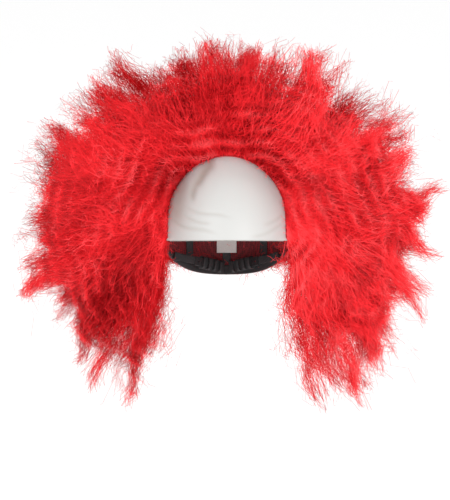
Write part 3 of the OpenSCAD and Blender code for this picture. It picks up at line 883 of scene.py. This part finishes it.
def long_tape(name, middle):
    """A tape inside the net, from behind the arch to the nape band."""
    half = math.degrees(0.5 * TAPE_W / HALF_W)
    stop = nape_phi(np.array(middle)) - degrees_of(BAND_W) - 2
    phi = np.broadcast_to(np.linspace(ARCH_TOP + 5, stop, 320), (7, 320))
    lam = middle + np.linspace(-half, half, 7)[:, None]
    strip(name + "_twill", name, TAPE, lam, phi,
          BAND_LAYER, ribs(1.6, 0.08), sheet=True)


def nape_band():
    """The elastic band along the nape."""
    lam = np.linspace(-BAND_END, BAND_END, 420)
    phi = between(nape_phi(lam) - degrees_of(BAND_W), nape_phi(lam), 9)
    strip("nape_band_elastic", "nape_band", ELASTIC, lam, phi,
          BAND_LAYER, ribs(2.4, 0.16), sheet=True)


def ear_side(side, sign):
    """The elastic band at an ear, and the short rows of hair at the temple."""
    lam = sign * np.linspace(EAR_EDGE - EAR_TURN, EAR_EDGE, 7)[:, None]
    phi = hem_phi(lam) + (nape_phi(lam) - hem_phi(lam)) * np.linspace(0, 1, 300)
    strip(f"ear_band_elastic_{side}", f"ear_band_{side}", ELASTIC, lam, phi,
          BAND_LAYER, ribs(2.4, 0.14), sheet=True)
    lam = sign * np.linspace(TEMPLE_FROM, TEMPLE_TO, 40)
    for turn in TEMPLE_ROWS:
        strip(f"temple_weft_{side}_{int(turn)}", f"temple_wefts_{side}", WEFT,
              lam, band_round(lam, turn, WEFT_W), WEFT_LAYER, sewn_weft)


def crown_rows():
    """Rows of hair sewn across the net, from behind the arch down to the nape."""
    step = (NAPE_EDGE - 6 - FIRST_ROW) / (WEFT_ROWS - 1)
    for i in range(WEFT_ROWS):
        middle = FIRST_ROW + i * step
        share = max(0.02, (NAPE_EDGE - middle - 5) / NAPE_RISE)
        reach = min(EAR_EDGE - 6, EAR_EDGE * share ** 0.25)
        lam = np.linspace(-reach, reach, 420)
        strip(f"sewn_row_{i + 1}", f"weft_row_{i + 1}", WEFT,
              lam, band_round(lam, middle, WEFT_W), WEFT_LAYER, sewn_weft)


bald_panel()
front_hem()
hairline()
crown_net()
for name, middle in (("centre_tape", 0.0), ("side_tape_left", SIDE_TAPE),
                     ("side_tape_right", -SIDE_TAPE)):
    long_tape(name, middle)
nape_band()
for side, sign in SIDES.items():
    ear_side(side, sign)
crown_rows()

# ---- ear tabs and label ----
TAB_X, TAB_Y = HALF_W * math.sin(math.radians(EAR_EDGE)) + 0.3, -9.0
TAB_TOP = CROWN * math.cos(math.radians(EAR_EDGE)) - 2.5
TAB_LEN, TAB_ROUND = 27.0, 10.0


def ear_tab(side, sign):
    """A velvet tab with a rolled edge, rounded below."""
    down = np.linspace(0, 1, 41)[:, None] * TAB_LEN
    below = down - (TAB_LEN - TAB_ROUND)
    half = np.where(below > 0, np.sqrt(np.maximum(0.02, TAB_ROUND ** 2 - below ** 2)), TAB_ROUND)
    across = np.linspace(-1, 1, 31)[None, :]
    rim = smooth(np.abs(across), 0.72, 0.86) * (1 - smooth(np.abs(across), 0.9, 1.0))
    rim = np.maximum(rim, smooth(down, 22.5, 24.5) * (1 - smooth(down, 25.5, 27.0)))
    y, z = TAB_Y + across * half, TAB_TOP - down + 0 * across
    thick = 0.42 + 0.35 * rim + 0.04 * np.cos(down * 2.4)
    low = np.stack([TAB_X + 0.5 - thick, y, z], -1)
    high = np.stack([TAB_X + 0.5 + thick, y, z], -1)
    mirror = np.array([sign, 1.0, 1.0])
    pair = (high * mirror, low * mirror) if sign > 0 else (low * mirror, high * mirror)
    obj = closed_shell(f"ear_tab_velvet_{side}", *pair)
    finish_piece(obj, f"ear_tab_{side}", VELVET)


def care_label():
    """A blank woven label, sewn at its upper edge and slightly curled below."""
    u, v = np.meshgrid(np.linspace(-1, 1, 61), np.linspace(-1, 1, 41), indexing="ij")
    node_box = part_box("care_label")
    low, high = np.array(node_box[0]) / MM, np.array(node_box[1]) / MM
    middle, half = (low + high) / 2, (high - low) / 2
    hem = 0.10 * (smooth(np.abs(v), 0.80, 0.84) + smooth(np.abs(u), 0.88, 0.92))
    curl = 0.25 * smooth(-v, 0.2, 1.0) * (1 + 0.3 * np.sin(3 * u))
    front = np.stack([middle[0] + u * half[0], middle[1] - 0.2 - hem - curl,
                      middle[2] + v * half[2]], -1)
    back = front + np.array([0, 0.4, 0])
    obj = closed_shell("care_label_blank", back, front)
    finish_piece(obj, "care_label", LABEL)


for side, sign in SIDES.items():
    ear_tab(side, sign)
care_label()

# ---- nape adjusters, in their own frame: along from the sewn end, inwards, upwards ----
STRAP_LEN, STRAP_W, SEWN_LEN = 24.0, 9.0, 7.0
HOOK_DEPTH, LOOPS_W, LOOP_LEN, LOOP_PITCH, LOOP_T = 3.4, 13.3, 3.0, 8.0, 0.7
LOOPS, LOOPS_FROM, LOOPS_TO, FIRST_LOOP = 4, 30, 65, 33.0
# Each adjuster is a straight row under the nape band. Its inner end lies near the middle of the
# nape, and its whole length gives the turn of its sewn end. Heights over the cap, and length.
MID_SEAT, SEWN_SEAT, ADJUSTER_LEN = -5.1, -3.2, 74.5


def on_band(lam, off):
    """A point along the middle of the nape band."""
    return on_cap(lam, nape_phi(lam) - degrees_of(BAND_W) / 2 - 1, off)


def sewn_turn():
    """The turn at which the sewn end lies a whole adjuster's length from the inner end."""
    near, far = 20.0, 75.0
    for step in range(20):
        turn = (near + far) / 2
        if np.linalg.norm(on_band(turn, SEWN_SEAT) - on_band(0.0, MID_SEAT)) < ADJUSTER_LEN:
            near = turn
        else:
            far = turn
    return (near + far) / 2


SEWN_END = on_band(sewn_turn(), SEWN_SEAT)
ALONG = unit(on_band(0.0, MID_SEAT) - SEWN_END)
OUTWARDS = on_band(sewn_turn() / 2, 0.0) / np.array([HALF_W, HALF_L, NAPE]) ** 2
INWARDS = -unit(OUTWARDS - (OUTWARDS @ ALONG) * ALONG)
UPWARDS = np.cross(ALONG, INWARDS)
ANCHOR = SEWN_END + SEWN_LEN * ALONG


def adjuster_points(local, sign):
    """Places in the wig's frame for points in an adjuster's frame."""
    world = ANCHOR + local[..., :1] * ALONG + local[..., 1:2] * INWARDS + local[..., 2:] * UPWARDS
    return world * np.array([sign, 1.0, 1.0])


def elastic_strap(side, sign):
    """Ribbed elastic, thicker where it is sewn down with a box of stitches."""
    u, v = np.meshgrid(np.linspace(-SEWN_LEN, STRAP_LEN, 187), np.linspace(-1, 1, 13), indexing="ij")
    sewn = 1 - smooth(u, -0.4, 0.2)
    half_t = 0.5 + 0.4 * sewn - 0.10 * v ** 8
    half_t += 0.06 * np.cos(u * WHOLE_WAVE / 1.3) * (1 - sewn)
    half_t += 0.05 * np.cos(v * 18.85)
    stitch = np.exp(-((np.abs(u + 3.5) - 2.4) / 0.3) ** 2) + np.exp(-((np.abs(v) - 0.72) / 0.07) ** 2)
    half_t -= 0.12 * np.clip(stitch, 0, 1) * sewn * (0.5 + 0.5 * np.cos(u * 6.0) * np.cos(v * 16))
    z = v * (0.5 * STRAP_W + 0.5 * sewn - 0.08)
    front = adjuster_points(np.stack([u, half_t, z], -1), sign)
    back = adjuster_points(np.stack([u, -half_t, z], -1), sign)
    pair = (front, back) if sign > 0 else (back, front)
    obj = closed_shell(f"elastic_strap_ribbed_{side}", *pair)
    obj.data.materials.append(ELASTIC)
    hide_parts(f"elastic_strap_{side}")
    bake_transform(obj)


def loop_tape(side, sign):
    """Webbing with a row of loops, each a band that arches over the hook's way."""
    u, v = np.meshgrid(np.linspace(LOOPS_FROM, LOOPS_TO, 141), np.linspace(-1, 1, 21),
                       indexing="ij")
    weave = 0.06 * np.cos(u * WHOLE_WAVE / 0.9) * np.cos(v * 30)
    top = -HOOK_DEPTH / 2 - 0.08 + weave
    low = -HOOK_DEPTH / 2 - 0.72 - weave
    z = v * (LOOPS_W / 2 + 1)
    grids = [(np.stack([u, top, z], -1), np.stack([u, low, z], -1))]
    turn = np.linspace(0, 1, 61)
    tall, wide = HOOK_DEPTH + 0.35, LOOPS_W / 2 - 0.35
    path_z = -wide * np.cos(turn * math.pi)
    path_z = np.sign(path_z) * wide * np.minimum(1, np.abs(path_z / wide) ** 0.35)
    path_y = -HOOK_DEPTH / 2 + tall * np.minimum(1, (np.sin(turn * math.pi)) ** 0.30)
    slope = unit(np.stack([np.gradient(path_y), np.gradient(path_z)], 1) + 1e-9)
    for i in range(LOOPS):
        start = FIRST_LOOP + i * LOOP_PITCH
        uu, tt = np.meshgrid(np.linspace(start, start + LOOP_LEN, 9), np.arange(61), indexing="ij")
        half = LOOP_T / 2 - 0.01 + 0.03 * np.cos(uu * 9)
        y_out, z_out = half * slope[tt, 1], half * slope[tt, 0]
        inner = np.stack([uu, path_y[tt] - y_out, path_z[tt] - z_out], -1)
        outer = np.stack([uu, path_y[tt] + y_out, path_z[tt] + z_out], -1)
        grids.append((inner, outer))
    for j, (a, b) in enumerate(grids):
        pair = (adjuster_points(a, sign), adjuster_points(b, sign))
        obj = closed_shell(f"loop_tape_{side}_{j}", *(pair if sign > 0 else pair[::-1]))
        finish_piece(obj, f"loop_tape_{side}", TAPE)


for side, sign in SIDES.items():
    elastic_strap(side, sign)
    loop_tape(side, sign)

# ---- the hard pieces keep their CAD shape ----
for name, obj in nodes.items():
    if obj.hide_render:
        continue
    obj.data.materials.clear()
    obj.data.materials.append(PLASTIC)

# ---- stage, light and camera ----
bpy.ops.mesh.primitive_plane_add(size=12, location=(0, 2, -0.45))
floor = bpy.context.object
floor.name = "floor"
floor_mat, _, floor_shader = new_material("floor_paper")
floor_shader.inputs["Base Color"].default_value = (0.97, 0.97, 0.97, 1)
floor_shader.inputs["Roughness"].default_value = 0.95
floor.data.materials.append(floor_mat)

world = bpy.data.worlds.new("studio")
bpy.context.scene.world = world
world.use_nodes = True
world.node_tree.nodes["Background"].inputs["Color"].default_value = (1, 1, 1, 1)
world.node_tree.nodes["Background"].inputs["Strength"].default_value = 1.0


def area_light(name, place, aim, size, power):
    """A square lamp, in metres and watts, that faces aim."""
    data = bpy.data.lights.new(name, "AREA")
    data.energy = power
    data.size = size
    obj = bpy.data.objects.new(name, data)
    obj.location = place
    obj.rotation_euler = (Vector(aim) - Vector(place)).to_track_quat("-Z", "Y").to_euler()
    bpy.context.scene.collection.objects.link(obj)


area_light("key", (1.5, -1.9, 0.9), (0, 0, 0.03), 0.8, 27)
area_light("fill", (-1.4, -1.8, 1.3), (0, 0, 0.05), 0.9, 20)

target = Vector((-0.002, 0.0, 0.011))
tilt = math.radians(17)
camera_data = bpy.data.cameras.new("camera")
camera_data.lens = 136
camera_data.sensor_width = 36
camera = bpy.data.objects.new("camera", camera_data)
camera.location = target + 2.2 * Vector((0, -math.cos(tilt), math.sin(tilt)))
camera.rotation_euler = (target - camera.location).to_track_quat("-Z", "Y").to_euler()
bpy.context.scene.collection.objects.link(camera)
bpy.context.scene.camera = camera
bpy.context.scene.view_settings.view_transform = "Standard"
